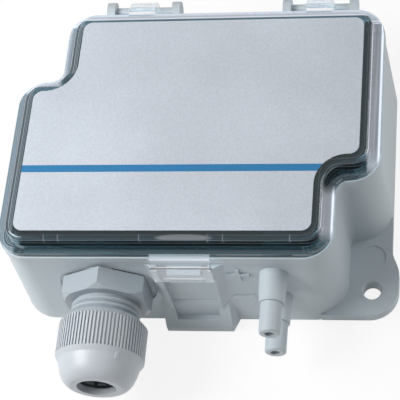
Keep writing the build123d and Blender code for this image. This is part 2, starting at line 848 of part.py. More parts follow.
with BuildPart() as terminal_clamps:
    with BuildSketch(Plane((0, terminal_front + 1.0, 0), x_dir=(1, 0, 0), z_dir=(0, 1, 0))):
        with Locations(*[(x, -cage_centre_z) for x in terminal_xs]):
            Rectangle(cage_size - 2 * seal_fit, cage_size - 2 * seal_fit)
            Rectangle(cage_size - 1.2, cage_size - 1.2, mode=Mode.SUBTRACT)
    extrude(amount=terminal_depth * 0.6)

with BuildPart() as terminal_screws:
    screw_bottom = cage_centre_z + cage_size / 2 - seal_fit
    with BuildSketch(Plane.XY.offset(screw_bottom)):
        with Locations(*[(x, terminal_y) for x in terminal_xs]):
            Circle(well_radius - 0.1)
    extrude(amount=terminal_height * 0.3)
    with BuildSketch(Plane.XY.offset(screw_bottom + terminal_height * 0.3)):
        with Locations(*[(x, terminal_y) for x in terminal_xs]):
            Rectangle(well_radius * 2, screw_slot_width)
    extrude(amount=-1.0, mode=Mode.SUBTRACT)

# Pressure sensor with two nozzles in line with the ports, and its tubes
sensor_front = board_low + sensor_edge_gap
sensor_y = sensor_front + sensor_depth / 2
sensor_height = port_high_z + sensor_cover - board_top
with BuildPart() as pressure_sensor:
    with BuildSketch(Plane.XY.offset(board_top)):
        with Locations((port_x, sensor_y)):
            RectangleRounded(sensor_width, sensor_depth, 0.8)
    extrude(amount=sensor_height)
    fillet(pressure_sensor.edges().group_by(Axis.Z)[-1], radius=0.5)
    for height in (port_high_z, port_low_z):
        nozzle_plane = Plane((port_x, sensor_front, height), x_dir=(1, 0, 0), z_dir=(0, -1, 0))
        with BuildSketch(nozzle_plane.offset(-1)):
            Circle(spigot_radius)
        extrude(amount=nozzle_length + 1)
        with BuildSketch(nozzle_plane.offset(nozzle_length)):
            Circle(port_bore_radius)
        extrude(amount=-(nozzle_length + sensor_depth / 2), mode=Mode.SUBTRACT)


def tube_solid(height):
    """A straight rubber tube from the inner spigot of a port to the sensor's nozzle."""
    spigot_end = -wall_y(height) + wall_thickness + spigot_length
    with BuildPart() as tube:
        with BuildSketch(Plane((port_x, spigot_end - tube_overlap, height), z_dir=(0, 1, 0))):
            Circle(spigot_radius + tube_wall)
            Circle(spigot_radius, mode=Mode.SUBTRACT)
        extrude(amount=sensor_front - nozzle_length + 2 * tube_overlap - spigot_end)
    return tube


sensor_tube_high = tube_solid(port_high_z)
sensor_tube_low = tube_solid(port_low_z)

# Zero button
button_y = board_high - button_edge_gap
with BuildPart() as zero_button_case:
    with BuildSketch(Plane.XY.offset(board_top)):
        with Locations((button_x, button_y)):
            RectangleRounded(button_size, button_size, 0.4)
    extrude(amount=button_case_height)
    with BuildSketch(Plane.XY.offset(board_top + button_case_height)):
        with Locations((button_x, button_y)):
            Circle(plunger_radius + plunger_clearance)
    extrude(amount=-(button_case_height - 0.6), mode=Mode.SUBTRACT)

with BuildPart() as zero_button_plunger:
    plunger_bottom = board_top + 0.6 + plunger_travel
    with BuildSketch(Plane.XY.offset(plunger_bottom)):
        with Locations((button_x, button_y)):
            Circle(plunger_radius)
    extrude(amount=button_case_height - 0.6 - plunger_travel + plunger_height)
    fillet(zero_button_plunger.edges().group_by(Axis.Z)[-1], radius=0.3)

# Jumper header, its pins and the two caps on them
header_x = header_side_gap - board_width / 2
header_y = board_high - header_edge_gap
header_spots = [
    (header_x + (i - (header_columns - 1) / 2) * header_pitch, header_y + row * header_pitch / 2)
    for i in range(header_columns) for row in (-1, 1)
]
with BuildPart() as jumper_header:
    with BuildSketch(Plane.XY.offset(board_top)):
        with Locations((header_x, header_y)):
            Rectangle(header_columns * header_pitch, 2 * header_pitch)
        with Locations(*header_spots):
            Rectangle(pin_width, pin_width, mode=Mode.SUBTRACT)
    extrude(amount=header_base_height)

with BuildPart() as jumper_pins:
    with BuildSketch(Plane.XY.offset(board_top)):
        with Locations(*header_spots):
            Rectangle(pin_width, pin_width)
    extrude(amount=pin_height)

with BuildPart() as jumper_caps:
    cap_xs = [header_spots[0][0], header_spots[-1][0]]
    cap_bottom = board_top + header_base_height
    with BuildSketch(Plane.XY.offset(cap_bottom)):
        with Locations(*[(x, header_y) for x in cap_xs]):
            Rectangle(header_pitch - 0.2, 2 * header_pitch - 0.2)
        with Locations(*[(x, y) for x, y in header_spots if x in cap_xs]):
            Rectangle(pin_width, pin_width, mode=Mode.SUBTRACT)
    extrude(amount=jumper_height)

# Chips and small parts soldered on the board
chip_y = board_centre_y - chip_drop
regulator_x = regulator_side_gap - board_width / 2
regulator_y = board_high - regulator_edge_gap
capacitor_y = board_low + capacitor_edge_gap
led_y = board_high - led_edge_gap
with BuildPart() as microcontroller:
    with BuildSketch(Plane.XY.offset(board_top + 0.1)):
        with Locations((chip_x, chip_y)):
            Rectangle(chip_size, chip_size)
    extrude(amount=chip_height)
    chamfer(microcontroller.edges().group_by(Axis.Z)[-1], length=0.15)
    lead_pitch = chip_size / (chip_lead_count + 1)
    with BuildSketch(Plane.XY.offset(board_top)):
        for i in range(chip_lead_count):
            offset = (i - (chip_lead_count - 1) / 2) * lead_pitch
            with Locations((chip_x, chip_y + offset)):
                Rectangle(chip_size + 2 * chip_lead_reach, lead_pitch / 2)
            with Locations((chip_x + offset, chip_y)):
                Rectangle(lead_pitch / 2, chip_size + 2 * chip_lead_reach)
    extrude(amount=lead_thickness)

with BuildPart() as voltage_regulator:
    with BuildSketch(Plane.XY.offset(board_top)):
        with Locations((regulator_x, regulator_y)):
            Rectangle(regulator_length, regulator_width)
    extrude(amount=regulator_height)
    chamfer(voltage_regulator.edges().group_by(Axis.Z)[-1], length=0.2)
    with BuildSketch(Plane.XY.offset(board_top)):
        with Locations((regulator_x, regulator_y + regulator_width * 0.75)):
            Rectangle(regulator_length * 0.46, regulator_width * 0.54)
        with Locations(*[
            (regulator_x + i * regulator_lead_pitch, regulator_y - regulator_width * 0.75) for i in (-1, 0, 1)
        ]):
            Rectangle(regulator_lead_pitch * 0.35, regulator_width * 0.54)
    extrude(amount=lead_thickness)

with BuildPart() as capacitor_can:
    with BuildSketch(Plane.XY.offset(board_top)):
        with Locations((capacitor_x, capacitor_y)):
            Rectangle(2.1 * capacitor_radius, 2.1 * capacitor_radius)
    extrude(amount=capacitor_foot)
    with BuildSketch(Plane.XY.offset(board_top + capacitor_foot)):
        with Locations((capacitor_x, capacitor_y)):
            Circle(capacitor_radius)
    extrude(amount=capacitor_height - capacitor_foot)
    fillet(capacitor_can.edges().group_by(Axis.Z)[-1], radius=0.5)

with BuildPart() as status_led:
    with BuildSketch(Plane.XY.offset(board_top)):
        with Locations((led_x, led_y)):
            Rectangle(led_length, led_width)
    extrude(amount=led_height / 2)
    with BuildSketch(Plane.XY.offset(board_top + led_height / 2)):
        with Locations((led_x, led_y)):
            Rectangle(led_length * 0.7, led_width)
    extrude(amount=led_height / 2, taper=10)

with BuildPart() as chip_components:
    with BuildSketch(Plane.XY.offset(board_top)):
        with Locations(*[(x, board_centre_y + y) for x, y in component_offsets]):
            Rectangle(component_length, component_width)
    extrude(amount=component_height)

pieces = {
    "base_housing": base_housing,
    "lid": lid,
    "front_label": front_label,
    "lid_gasket": lid_gasket,
    "gland_body": gland_body,
    "gland_washer": gland_washer,
    "gland_seal": gland_seal,
    "gland_nut": gland_nut,
    "gland_locknut": gland_locknut,
    "circuit_board": circuit_board,
    "board_screws": board_screws,
    "terminal_block": terminal_block,
    "terminal_clamps": terminal_clamps,
    "terminal_screws": terminal_screws,
    "pressure_sensor": pressure_sensor,
    "sensor_tube_high": sensor_tube_high,
    "sensor_tube_low": sensor_tube_low,
    "zero_button_case": zero_button_case,
    "zero_button_plunger": zero_button_plunger,
    "jumper_header": jumper_header,
    "jumper_pins": jumper_pins,
    "jumper_caps": jumper_caps,
    "microcontroller": microcontroller,
    "voltage_regulator": voltage_regulator,
    "capacitor_can": capacitor_can,
    "status_led": status_led,
    "chip_components": chip_components,
}


for name, piece in pieces.items():
    piece.part.label = name
    export_step(piece.part, f"parts/{name}.step")
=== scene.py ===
"""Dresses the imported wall-mounted differential pressure transmitter for its portrait.

Every operator finishes one piece or one group of like pieces, and the stage
operator sets the floor, the lamps and the camera.
"""

import math

import bmesh
import bpy
from bpy.props import FloatProperty, FloatVectorProperty, PointerProperty
from bpy.types import Operator, Panel, PropertyGroup
from mathutils import Matrix, Vector


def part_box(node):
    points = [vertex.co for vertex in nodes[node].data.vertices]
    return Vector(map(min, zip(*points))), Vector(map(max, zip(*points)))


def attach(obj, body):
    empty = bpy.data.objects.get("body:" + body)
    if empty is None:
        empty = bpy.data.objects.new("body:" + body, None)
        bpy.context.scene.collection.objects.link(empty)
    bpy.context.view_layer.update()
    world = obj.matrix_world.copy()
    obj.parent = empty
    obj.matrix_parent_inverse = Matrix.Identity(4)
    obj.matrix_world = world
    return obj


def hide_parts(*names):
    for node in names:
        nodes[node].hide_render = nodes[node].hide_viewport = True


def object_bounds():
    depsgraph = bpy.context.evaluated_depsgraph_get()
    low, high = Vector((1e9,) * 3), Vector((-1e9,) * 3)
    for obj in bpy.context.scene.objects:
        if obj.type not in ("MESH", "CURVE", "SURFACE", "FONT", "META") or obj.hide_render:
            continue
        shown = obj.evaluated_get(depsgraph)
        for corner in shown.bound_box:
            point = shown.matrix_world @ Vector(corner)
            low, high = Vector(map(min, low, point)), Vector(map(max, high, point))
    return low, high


bl_info = {
    "name": "Pressure Transmitter Finish",
    "version": (1, 0, 0),
    "blender": (4, 5, 0),
    "location": "3D View > Sidebar > Transmitter",
    "description": "Finishes and lights the wall-mounted differential pressure transmitter",
    "category": "Object",
}

# The corner that is cut away from the lid
NOTCH_WIDTH = 0.0099
NOTCH_HEIGHT = 0.0194

# How far in from the lid's edge the rim's painted shade and painted light reach, and how softly they end
RIM_REACH = 0.0058
RIM_FADE = 0.0004

# Blending lengths of the outline's convex and concave corners
OUTER_ROUNDING = 0.0054
INNER_ROUNDING = 0.0061

# Widths of the lid's bands of painted light, painted shade and painted highlight, measured in from its
# edges
WALL_BAND = 0.0029
UPPER_BAND = 0.0037
STEP_BAND = 0.0032
LEFT_BAND = 0.0045
LEFT_FLANGE = 0.0017
FLANGE_LINE = 0.0006
UPPER_LINE = (0.0032, 0.0037)
RIB_BAND = (0.0021, 0.0035)

# Lengths over which the painted bands fade, from a crisp line to the turn of a corner
LINE_FADE = 0.0001
SHARP_FADE = 0.0003
WALL_FADE = 0.0004
BAND_FADE = 0.0005
STEP_FADE = 0.001
CORNER_FADE = 0.003

# Where the painted light on the wall of the lower cut corner ends, above the front edge and below the step
FRONT_TURN = (0.0028, 0.0063)
STEP_TURN = (-0.002, -0.0045)

# How far past the flange the snap tab and the hooks begin
FLANGE_GAP = 0.00006

# Places of the painted highlight ticks on the lid's stiffening rib lines, and of the painted light oval
# over the root of its snap tab
RIB_PLACES = (-0.0315, -0.0282, -0.0095, 0.006, 0.0095, 0.0245)
RIB_HALF = 0.00014
OVAL_CENTRE = (0.0006, -0.0299)
OVAL_HALF = (0.0066, 0.0008)
OVAL_DEPTH = 0.0009

# Height above which the snap tab bends over the rim
TAB_BEND = 0.0325

# How often the painted highlight lines inside the rim repeat, per metre inwards and per metre of height,
# and how the painted streaky light is stretched
WAVES_INWARDS = 3400.0
WAVES_UPWARDS = 1300.0
STREAK_STRETCH = (1800.0, 30.0, 1800.0)

# Strength of the painted highlight, drawn as emission, on each part of the lid
PAINTED_HIGHLIGHT = {
    "walls": 0.75, "tab and hooks": 0.16, "flange line": 3.2, "upper": 1.0, "upper line": 2.4,
    "left flange": 0.75, "left lines": 1.5, "rings": 0.3, "bend": 2.4, "rib_highlights": 0.6, "oval": 0.85,
}

# Clear plastic: the tint of its reflections and of its shadow
REFLECTION_TINT = (0.8, 0.94, 1.0, 1)
SHADOW_TINT = (0.86, 0.92, 0.93, 1)

# Gap between the lid and the back of its label, and the label's plain film under its print
LABEL_GAP = 0.00003
LABEL_BACKING = 0.0001

# Tinned ends, solder and tracks of the chip components
CAP_LENGTH = 0.0004
CAP_SKIN = 0.00003
CAP_TAPER = 0.00002
SOLDER_REACH = 0.00035
SOLDER_MARGIN = 0.0001
SOLDER_RISE = 0.55
SOLDER_TAPER = 0.00022
TRACK_HALF = 0.00018
TRACK_LIFT = 0.00004
TRACK_MARGIN = 0.0014

# The bar on the cap nut: its turn, its half angle, and the height and radii of its two ends
MARK_TURN = math.radians(52.0)
MARK_HALF = math.radians(2.8)
MARK_ENDS = ((0.0070, 0.0088, 0.01005), (0.0042, 0.0082, 0.0094))

# The floor sheet, and the lamps with their place and size
FLOOR_HALF = 3.0
FLOOR_DROP = 0.0001
KEY_LAMP = ((-0.2, -0.07, 0.24), 0.16)
FILL_LAMP = ((0.5, 0.16, 0.3), 0.3)

# The camera: its place, the directions of its frame, and its shift
CAMERA_PLACE = (0.066551, -0.174739, 0.326377)
CAMERA_RIGHT = (0.98904, 0.0672, -0.13148)
CAMERA_DOWN = (-0.00319, -0.88052, -0.47401)
CAMERA_AHEAD = (-0.14763, 0.46923, -0.87065)
CAMERA_SHIFT = (-0.15155, -0.02371)

# Places of a colour mix node's two colours and of its result
COLOUR_A = 6
COLOUR_B = 7
COLOUR_RESULT = 2

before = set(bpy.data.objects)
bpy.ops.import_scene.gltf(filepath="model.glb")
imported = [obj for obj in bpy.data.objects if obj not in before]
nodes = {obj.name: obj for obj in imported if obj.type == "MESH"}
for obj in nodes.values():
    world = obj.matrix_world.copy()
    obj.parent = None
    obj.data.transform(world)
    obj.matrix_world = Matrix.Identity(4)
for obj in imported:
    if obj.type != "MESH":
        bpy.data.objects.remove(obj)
cad_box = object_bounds()


def bottom(node):
    """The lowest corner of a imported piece."""
    return Vector(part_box(node)[0])


def top(node):
    """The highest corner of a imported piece."""
    return Vector(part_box(node)[1])


# Half the lid's width and height at its flange, without the tab and the hooks
rim_side = top("lid").x
rim_end = top("front_label").y + rim_side - top("front_label").x
crown_top = Vector(cad_box[1]).z


def linear(red, green, blue):
    """A screen colour, given in steps from 0 to 255, as the colour that a shader mixes with."""
    return tuple(
        ((c / 255 + 0.055) / 1.055) ** 2.4 if c > 10 else c / 255 / 12.92 for c in (red, green, blue)
    )


class TransmitterHousing(PropertyGroup):
    """Colour and grain of the grey housing."""

    colour: FloatVectorProperty(
        name="Colour", description="Colour of the moulded grey plastic", subtype="COLOR",
        default=linear(180, 190, 196), min=0, max=1,
    )
    grain: FloatProperty(
        name="Grain", description="Distance between the bumps of the moulded grain",
        default=0.0006, unit="LENGTH", precision=5,
    )
    roughness: FloatProperty(
        name="Roughness", description="How dull the plastic is",
        default=0.48, subtype="FACTOR", min=0, max=1,
    )


class TransmitterLid(PropertyGroup):
    """Tint and gloss of the clear lid, and the painted shade, painted light and painted highlight of its
    rim.
    """

    tint: FloatVectorProperty(
        name="Tint", description="Colour of light that has passed through the thin tab and hooks",
        subtype="COLOR", default=linear(231, 232, 234), min=0, max=1,
    )
    # Painted shade: the darker rim colour along the front and the left
    deep: FloatVectorProperty(
        name="Deep tint", description="Colour seen through the thick rim over the dark inside",
        subtype="COLOR", default=linear(38, 76, 88), min=0, max=1,
    )
    # Painted light: the paler rim colour along the right and the upper edges
    pale: FloatVectorProperty(
        name="Pale tint", description="Colour seen through the rim where it carries the daylight",
        subtype="COLOR", default=linear(198, 200, 206), min=0, max=1,
    )
    # Painted highlight: colour of the emission along the rim's edges and lines
    painted_highlight_colour: FloatVectorProperty(
        name="Edge light", description="Light that the clear plastic gathers along its pale edges",
        subtype="COLOR", default=linear(114, 114, 119), min=0, max=1,
    )
    roughness: FloatProperty(
        name="Roughness", description="How far the polished faces are from a mirror",
        default=0.06, subtype="FACTOR", min=0, max=1,
    )


class TransmitterLabel(PropertyGroup):
    """Colours and stripe of the front label."""

    colour: FloatVectorProperty(
        name="Colour", description="Ground colour of the printed label", subtype="COLOR",
        default=linear(194, 201, 210), min=0, max=1,
    )
    stripe: FloatVectorProperty(
        name="Stripe", description="Colour of the printed stripe", subtype="COLOR",
        default=linear(30, 110, 158), min=0, max=1,
    )
    stripe_low: FloatProperty(
        name="Stripe edge", description="Height of the stripe's lower edge above the centre",
        default=-0.01325, unit="LENGTH", precision=5,
    )
    stripe_width: FloatProperty(
        name="Stripe width", description="Width of the stripe",
        default=0.00185, unit="LENGTH", precision=5,
    )
    speckle: FloatProperty(
        name="Speckle", description="Contrast of the film's silver grain",
        default=0.3, subtype="FACTOR", min=0, max=1,
    )


class TransmitterGland(PropertyGroup):
    """Colours of the cable gland."""

    nylon: FloatVectorProperty(
        name="Nylon", description="Colour of the cap nut's nylon", subtype="COLOR",
        default=linear(182, 188, 194), min=0, max=1,
    )
    # Painted shade: a darker copy of the gland nylon for the hexagon body and the lock nut, whose faces
    # catch less light
    shaded_body_nylon: FloatVectorProperty(
        name="Body nylon", description="Colour of the nylon of the body and the lock nut", subtype="COLOR",
        default=linear(158, 167, 174), min=0, max=1,
    )
    rubber: FloatVectorProperty(
        name="Rubber", description="Colour of the seal and the washer", subtype="COLOR",
        default=linear(22, 24, 26), min=0, max=1,
    )


class TransmitterStudio(PropertyGroup):
    """Lamps, floor and camera."""

    key: FloatProperty(name="Key", description="Power of the large lamp", default=0.97, subtype="POWER")
    fill: FloatProperty(name="Fill", description="Power of the small lamp", default=0.9, subtype="POWER")
    world: FloatProperty(name="Surround", description="Brightness of the surrounding white", default=0.27)
    floor: FloatVectorProperty(
        name="Floor", description="Colour of the floor", subtype="COLOR",
        default=(0.93, 0.93, 0.93), min=0, max=1,
    )
    floor_white: FloatProperty(
        name="Floor white", description="Share of plain white in the floor as it is seen",
        default=0.86, subtype="FACTOR", min=0, max=1,
    )
    lens: FloatProperty(
        name="Lens", description="Focal length of the camera in millimetres", default=134.0,
    )


class Graph:
    """Adds shader nodes to a tree. A value is the output socket of another node or a plain value."""

    def __init__(self, tree):
        self.tree = tree

    def feed(self, value, socket):
        """Links or sets one input."""
        if isinstance(value, bpy.types.NodeSocket):
            self.tree.links.new(value, socket)
        else:
            socket.default_value = value

    def add(self, kind, **settings):
        """One node. A setting whose name starts with in_ goes to the input of that name."""
        node = self.tree.nodes.new(kind)
        for key, value in settings.items():
            if key.startswith("in_"):
                self.feed(value, node.inputs[key[3:].replace("_", " ")])
            else:
                setattr(node, key, value)
        return node

    def math(self, operation, *values):
        """One sum on up to three values."""
        node = self.add("ShaderNodeMath", operation=operation)
        for value, socket in zip(values, node.inputs):
            self.feed(value, socket)
        return node.outputs[0]

    def join(self, operation, *values):
        """The same sum carried through any number of values."""
        result = values[0]
        for value in values[1:]:
            result = self.math(operation, result, value)
        return result

    def ramp(self, value, start, stop, low=0.0, high=1.0):
        """Runs from low to high while value runs from start to stop."""
        node = self.add(
            "ShaderNodeMapRange", in_Value=value, in_From_Min=start, in_From_Max=stop,
            in_To_Min=low, in_To_Max=high,
        )
        return node.outputs[0]

    def band(self, value, limits, fade):
        """1 where value lies between two limits."""
        low, high = limits
        return self.math(
            "MULTIPLY", self.ramp(value, high, high - fade), self.ramp(value, low, low + fade)
        )

    def vector(self, operation, first, second=(0, 0, 0), result="Vector"):
        """One sum on vectors."""
        node = self.add("ShaderNodeVectorMath", operation=operation)
        self.feed(first, node.inputs[0])
        self.feed(second, node.inputs[1])
        return node.outputs[result]

    def scaled(self, colour, amount):
        """A colour or vector times a value."""
        node = self.add("ShaderNodeVectorMath", operation="SCALE", in_Vector=colour, in_Scale=amount)
        return node.outputs[0]

    def mix(self, factor, first, second):
        """Mixes two colours."""
        node = self.add("ShaderNodeMix", data_type="RGBA")
        self.feed(factor, node.inputs[0])
        self.feed(first, node.inputs[COLOUR_A])
        self.feed(second, node.inputs[COLOUR_B])
        return node.outputs[COLOUR_RESULT]

    def blend(self, share, first, second):
        """Mixes two shaders."""
        node = self.add("ShaderNodeMixShader")
        for value, socket in zip((share, first, second), node.inputs):
            self.feed(value, socket)
        return node.outputs[0]

    def place(self):
        """Coordinates in the object's own space."""
        return self.add("ShaderNodeTexCoord").outputs["Object"]

    def split(self, vector):
        """The three parts of a vector."""
        return self.add("ShaderNodeSeparateXYZ", in_Vector=vector).outputs

    def noise(self, vector, scale, detail):
        """Noise whose grain is finer the larger the scale."""
        node = self.add("ShaderNodeTexNoise", in_Vector=vector, in_Scale=scale, in_Detail=detail)
        return node.outputs[0]

    def seen_plainly(self):
        """1 for what the camera sees by itself, in a reflection or through clear plastic."""
        path = self.add("ShaderNodeLightPath").outputs
        seen = self.join("ADD", path["Is Camera Ray"], path["Is Glossy Ray"], path["Is Transmission Ray"])
        return self.math("MINIMUM", seen, 1.0)


class Shader(Graph):
    """One procedural material around a Principled BSDF."""

    def __init__(self, name):
        self.material = bpy.data.materials.new(name)
        self.material.use_nodes = True
        super().__init__(self.material.node_tree)
        self.tree.nodes.clear()
        self.output = self.add("ShaderNodeOutputMaterial")
        self.principled = self.add("ShaderNodeBsdfPrincipled")
        self.show(self.principled.outputs["BSDF"])

    def show(self, shader):
        self.feed(shader, self.output.inputs["Surface"])

    def set(self, **values):
        """Feeds inputs of the Principled BSDF."""
        for key, value in values.items():
            self.feed(value, self.principled.inputs[key.replace("_", " ")])

    def bump(self, height, distance, strength):
        node = self.add("ShaderNodeBump", in_Height=height, in_Distance=distance, in_Strength=strength)
        self.set(Normal=node.outputs["Normal"])

    def group(self, tree, **values):
        """Places a node group with its own values."""
        node = self.add("ShaderNodeGroup", node_tree=tree)
        for key, value in values.items():
            self.feed(value, node.inputs[key.replace("_", " ")])
        return node.outputs


def new_group(name, inputs, outputs):
    """An empty shader node group with named float or colour sockets."""
    tree = bpy.data.node_groups.new(name, "ShaderNodeTree")
    for label, kind, default in inputs:
        socket = tree.interface.new_socket(label, in_out="INPUT", socket_type=kind)
        socket.default_value = default
    for label, kind in outputs:
        tree.interface.new_socket(label, in_out="OUTPUT", socket_type=kind)
    source = tree.nodes.new("NodeGroupInput").outputs
    sink = tree.nodes.new("NodeGroupOutput").inputs
    return Graph(tree), source, sink


def moulded_grain():
    """Fine grain of moulded plastic: a height, a slow change of tone, and a shift of roughness."""
    found = bpy.data.node_groups.get("Moulded grain")
    if found:
        return found
    graph, source, sink = new_group(
        "Moulded grain",
        [("Spacing", "NodeSocketFloat", 0.0006), ("Contrast", "NodeSocketFloat", 0.04),
         ("Colour", "NodeSocketColor", (0.5, 0.5, 0.5, 1))],
        [("Colour", "NodeSocketColor"), ("Height", "NodeSocketFloat"),
         ("Roughness shift", "NodeSocketFloat")],
    )
    place = graph.place()
    fine = graph.noise(place, graph.math("DIVIDE", 1.0, source["Spacing"]), 3.0)
    slow = graph.noise(place, 38.0, 4.0)
    darkest = graph.math("SUBTRACT", 1.0, source["Contrast"])
    tone = graph.ramp(graph.math("MULTIPLY_ADD", fine, 0.35, slow), 0.4, 0.95, darkest)
    graph.feed(graph.scaled(source["Colour"], tone), sink["Colour"])
    graph.feed(fine, sink["Height"])
    graph.feed(graph.math("MULTIPLY", slow, 0.12), sink["Roughness shift"])
    return graph.tree


def outline_distance(graph, x, y, lower_step, upper_step, side, end):
    """Distance in from the lid's stepped outline, with its corners rounded like the moulding's."""
    inset = graph.math(
        "SMOOTH_MIN", graph.math("SUBTRACT", side, graph.math("ABSOLUTE", x)),
        graph.math("SUBTRACT", end, graph.math("ABSOLUTE", y)), OUTER_ROUNDING,
    )
    for step in (lower_step, upper_step):
        step_inset = graph.math("SMOOTH_MAX", *step, INNER_ROUNDING)
        inset = graph.math("SMOOTH_MIN", inset, step_inset, OUTER_ROUNDING)
    return inset


def lid_painted_light_and_shade():
    """Painted light and shade of the clear lid.

    Its colour is darkened along the front and the left as painted shade,
    lightened along the right and the upper edges as painted light,
    and clear on the tab, on the hooks and under the label.
    Its emission adds painted highlights along the rim's edges and lines.
    """
    found = bpy.data.node_groups.get("Lid painted light and shade")
    if found:
        return found
    graph, source, sink = new_group(
        "Lid painted light and shade",
        [("Deep", "NodeSocketColor", (0.02, 0.06, 0.08, 1)),
         ("Pale", "NodeSocketColor", (0.5, 0.5, 0.5, 1)),
         ("Clear", "NodeSocketColor", (0.9, 0.9, 0.9, 1)),
         ("Edge light", "NodeSocketColor", (0.1, 0.1, 0.1, 1)),
         ("Side", "NodeSocketFloat", 0.0434), ("End", "NodeSocketFloat", 0.0326),
         ("Step side", "NodeSocketFloat", 0.0335), ("Step end", "NodeSocketFloat", 0.0132)],
        [("Colour", "NodeSocketColor"), ("Painted highlight", "NodeSocketColor")],
    )
    value, join, ramp = graph.math, graph.join, graph.ramp
    place = graph.place()
    x, y, z = graph.split(place)
    side, end, step_side, step_end = (source[name] for name in ("Side", "End", "Step side", "Step end"))

    # Distances in from the straight edges, and from the edges of the two cut corners
    from_right, from_left = value("SUBTRACT", side, x), value("ADD", side, x)
    from_back, from_front = value("SUBTRACT", end, y), value("ADD", end, y)
    lower_step = value("SUBTRACT", step_side, x), value("ADD", step_end, y)
    upper_step = value("ADD", step_side, x), value("SUBTRACT", step_end, y)
    inset = outline_distance(graph, x, y, lower_step, upper_step, side, end)

    # Painted light: the walls on the right, the upper edge and the edge under the upper cut corner get the
    # pale tint and a painted highlight
    right_wall = value(
        "MULTIPLY", ramp(from_right, WALL_BAND, WALL_BAND - WALL_FADE),
        ramp(lower_step[1], 0.0, CORNER_FADE),
    )
    step_wall = join(
        "MULTIPLY", ramp(lower_step[0], WALL_BAND, WALL_BAND - WALL_FADE),
        ramp(from_front, *FRONT_TURN), ramp(lower_step[1], *STEP_TURN),
    )
    walls = value("MAXIMUM", right_wall, step_wall)
    upper = ramp(from_back, UPPER_BAND, UPPER_BAND - SHARP_FADE)
    step_edge = value(
        "MULTIPLY", ramp(upper_step[0], STEP_FADE, 0.0),
        ramp(upper_step[1], STEP_BAND, STEP_BAND - BAND_FADE),
    )

    # The tab and the hooks, which lie past the flange
    tab = ramp(from_front, -FLANGE_GAP, -FLANGE_GAP - LINE_FADE)
    hooks = ramp(from_back, -FLANGE_GAP, -FLANGE_GAP - LINE_FADE)
    apart = value("MAXIMUM", hooks, tab)

    # The left side, down to the front and beside the upper cut corner, where painted highlight lines fall
    # on the flange and the rim
    beside_step = value(
        "MULTIPLY", ramp(upper_step[0], LEFT_BAND, LEFT_BAND - BAND_FADE),
        ramp(upper_step[1], 0.0, -STEP_FADE),
    )
    left = value("MAXIMUM", ramp(from_left, LEFT_BAND, LEFT_BAND - BAND_FADE), beside_step)

    # Painted shade and light of the rim: the Deep colour darkens the front and the left, the Pale colour
    # lightens the right and the upper edges
    rim = ramp(inset, RIM_REACH + RIM_FADE, RIM_REACH - RIM_FADE)
    edges = join("MAXIMUM", walls, upper, step_edge)
    rim_colour = graph.mix(edges, source["Deep"], source["Pale"])
    inner = graph.mix(rim, source["Clear"], rim_colour)
    graph.feed(graph.mix(apart, inner, source["Clear"]), sink["Colour"])

    # Painted highlight lines that follow the outline, and painted streaky light across the walls
    waves = graph.add(
        "ShaderNodeTexNoise", noise_dimensions="1D", in_Scale=1.0, in_Detail=1.0,
        in_W=value("MULTIPLY_ADD", inset, WAVES_INWARDS, value("MULTIPLY", z, WAVES_UPWARDS)),
    ).outputs[0]
    stretched = graph.vector("MULTIPLY", place, STREAK_STRETCH)
    painted_streaks = ramp(graph.noise(stretched, 1.0, 2.0), 0.3, 0.7, 0.45, 1.3)

    # Painted highlight ticks over the stiffening rib lines behind the front wall, and the painted light
    # oval over the tab's root
    rib_highlights = join("MAXIMUM", *[value("COMPARE", x, rib, RIB_HALF) for rib in RIB_PLACES])
    away = graph.vector("SUBTRACT", place, (*OVAL_CENTRE, 0))
    away = graph.vector("MULTIPLY", away, (1 / OVAL_HALF[0], 1 / OVAL_HALF[1], 0))
    reach = graph.vector("LENGTH", away, result="Value")
    oval_low = crown_top - OVAL_DEPTH
    oval = value("MULTIPLY", ramp(reach, 1.05, 0.8), ramp(z, oval_low, oval_low + SHARP_FADE))

    # Each mask below carries a painted highlight, drawn as emission; those in the first table are broken
    # up by the painted streaky light
    streaked_highlight_masks = {
        "walls": walls,
        "tab and hooks": apart,
        "flange line": value("MULTIPLY", walls, ramp(inset, FLANGE_LINE, FLANGE_LINE / 2)),
    }
    even_highlight_masks = {
        "upper": value("SUBTRACT", value("MAXIMUM", upper, step_edge), apart),
        "upper line": value("SUBTRACT", graph.band(from_back, UPPER_LINE, LINE_FADE), apart),
        "left flange": value("MULTIPLY", left, ramp(inset, LEFT_FLANGE, LEFT_FLANGE - 0.0002)),
        "left lines": join("MULTIPLY", ramp(waves, 0.5, 0.54), rim, left),
        "rings": value("SUBTRACT", value("MULTIPLY", ramp(waves, 0.56, 0.68), rim), apart),
        "bend": join("MULTIPLY", tab, ramp(z, TAB_BEND, TAB_BEND + SHARP_FADE), ramp(waves, 0.42, 0.62)),
        "rib_highlights": value("MULTIPLY", rib_highlights, graph.band(from_front, RIB_BAND, LINE_FADE)),
        "oval": oval,
    }
    lit = join("MAXIMUM", *[value("MULTIPLY", mask, PAINTED_HIGHLIGHT[part]) for part, mask in streaked_highlight_masks.items()])
    steady_highlights = [value("MULTIPLY", mask, PAINTED_HIGHLIGHT[part]) for part, mask in even_highlight_masks.items()]
    share = join("MAXIMUM", value("MULTIPLY", lit, painted_streaks), *steady_highlights)
    graph.feed(graph.scaled(source["Edge light"], share), sink["Painted highlight"])
    return graph.tree


def grained(name, colour, roughness, grain, contrast, depth, strength, **values):
    """A material with the moulded grain in its colour, its roughness and its height."""
    s = Shader(name)
    group = s.group(moulded_grain(), Spacing=grain, Contrast=contrast, Colour=(*colour, 1))
    s.set(Base_Color=group["Colour"], Roughness=s.math("ADD", group["Roughness shift"], roughness - 0.06))
    s.bump(group["Height"], depth, strength)
    s.set(**values)
    return s.material


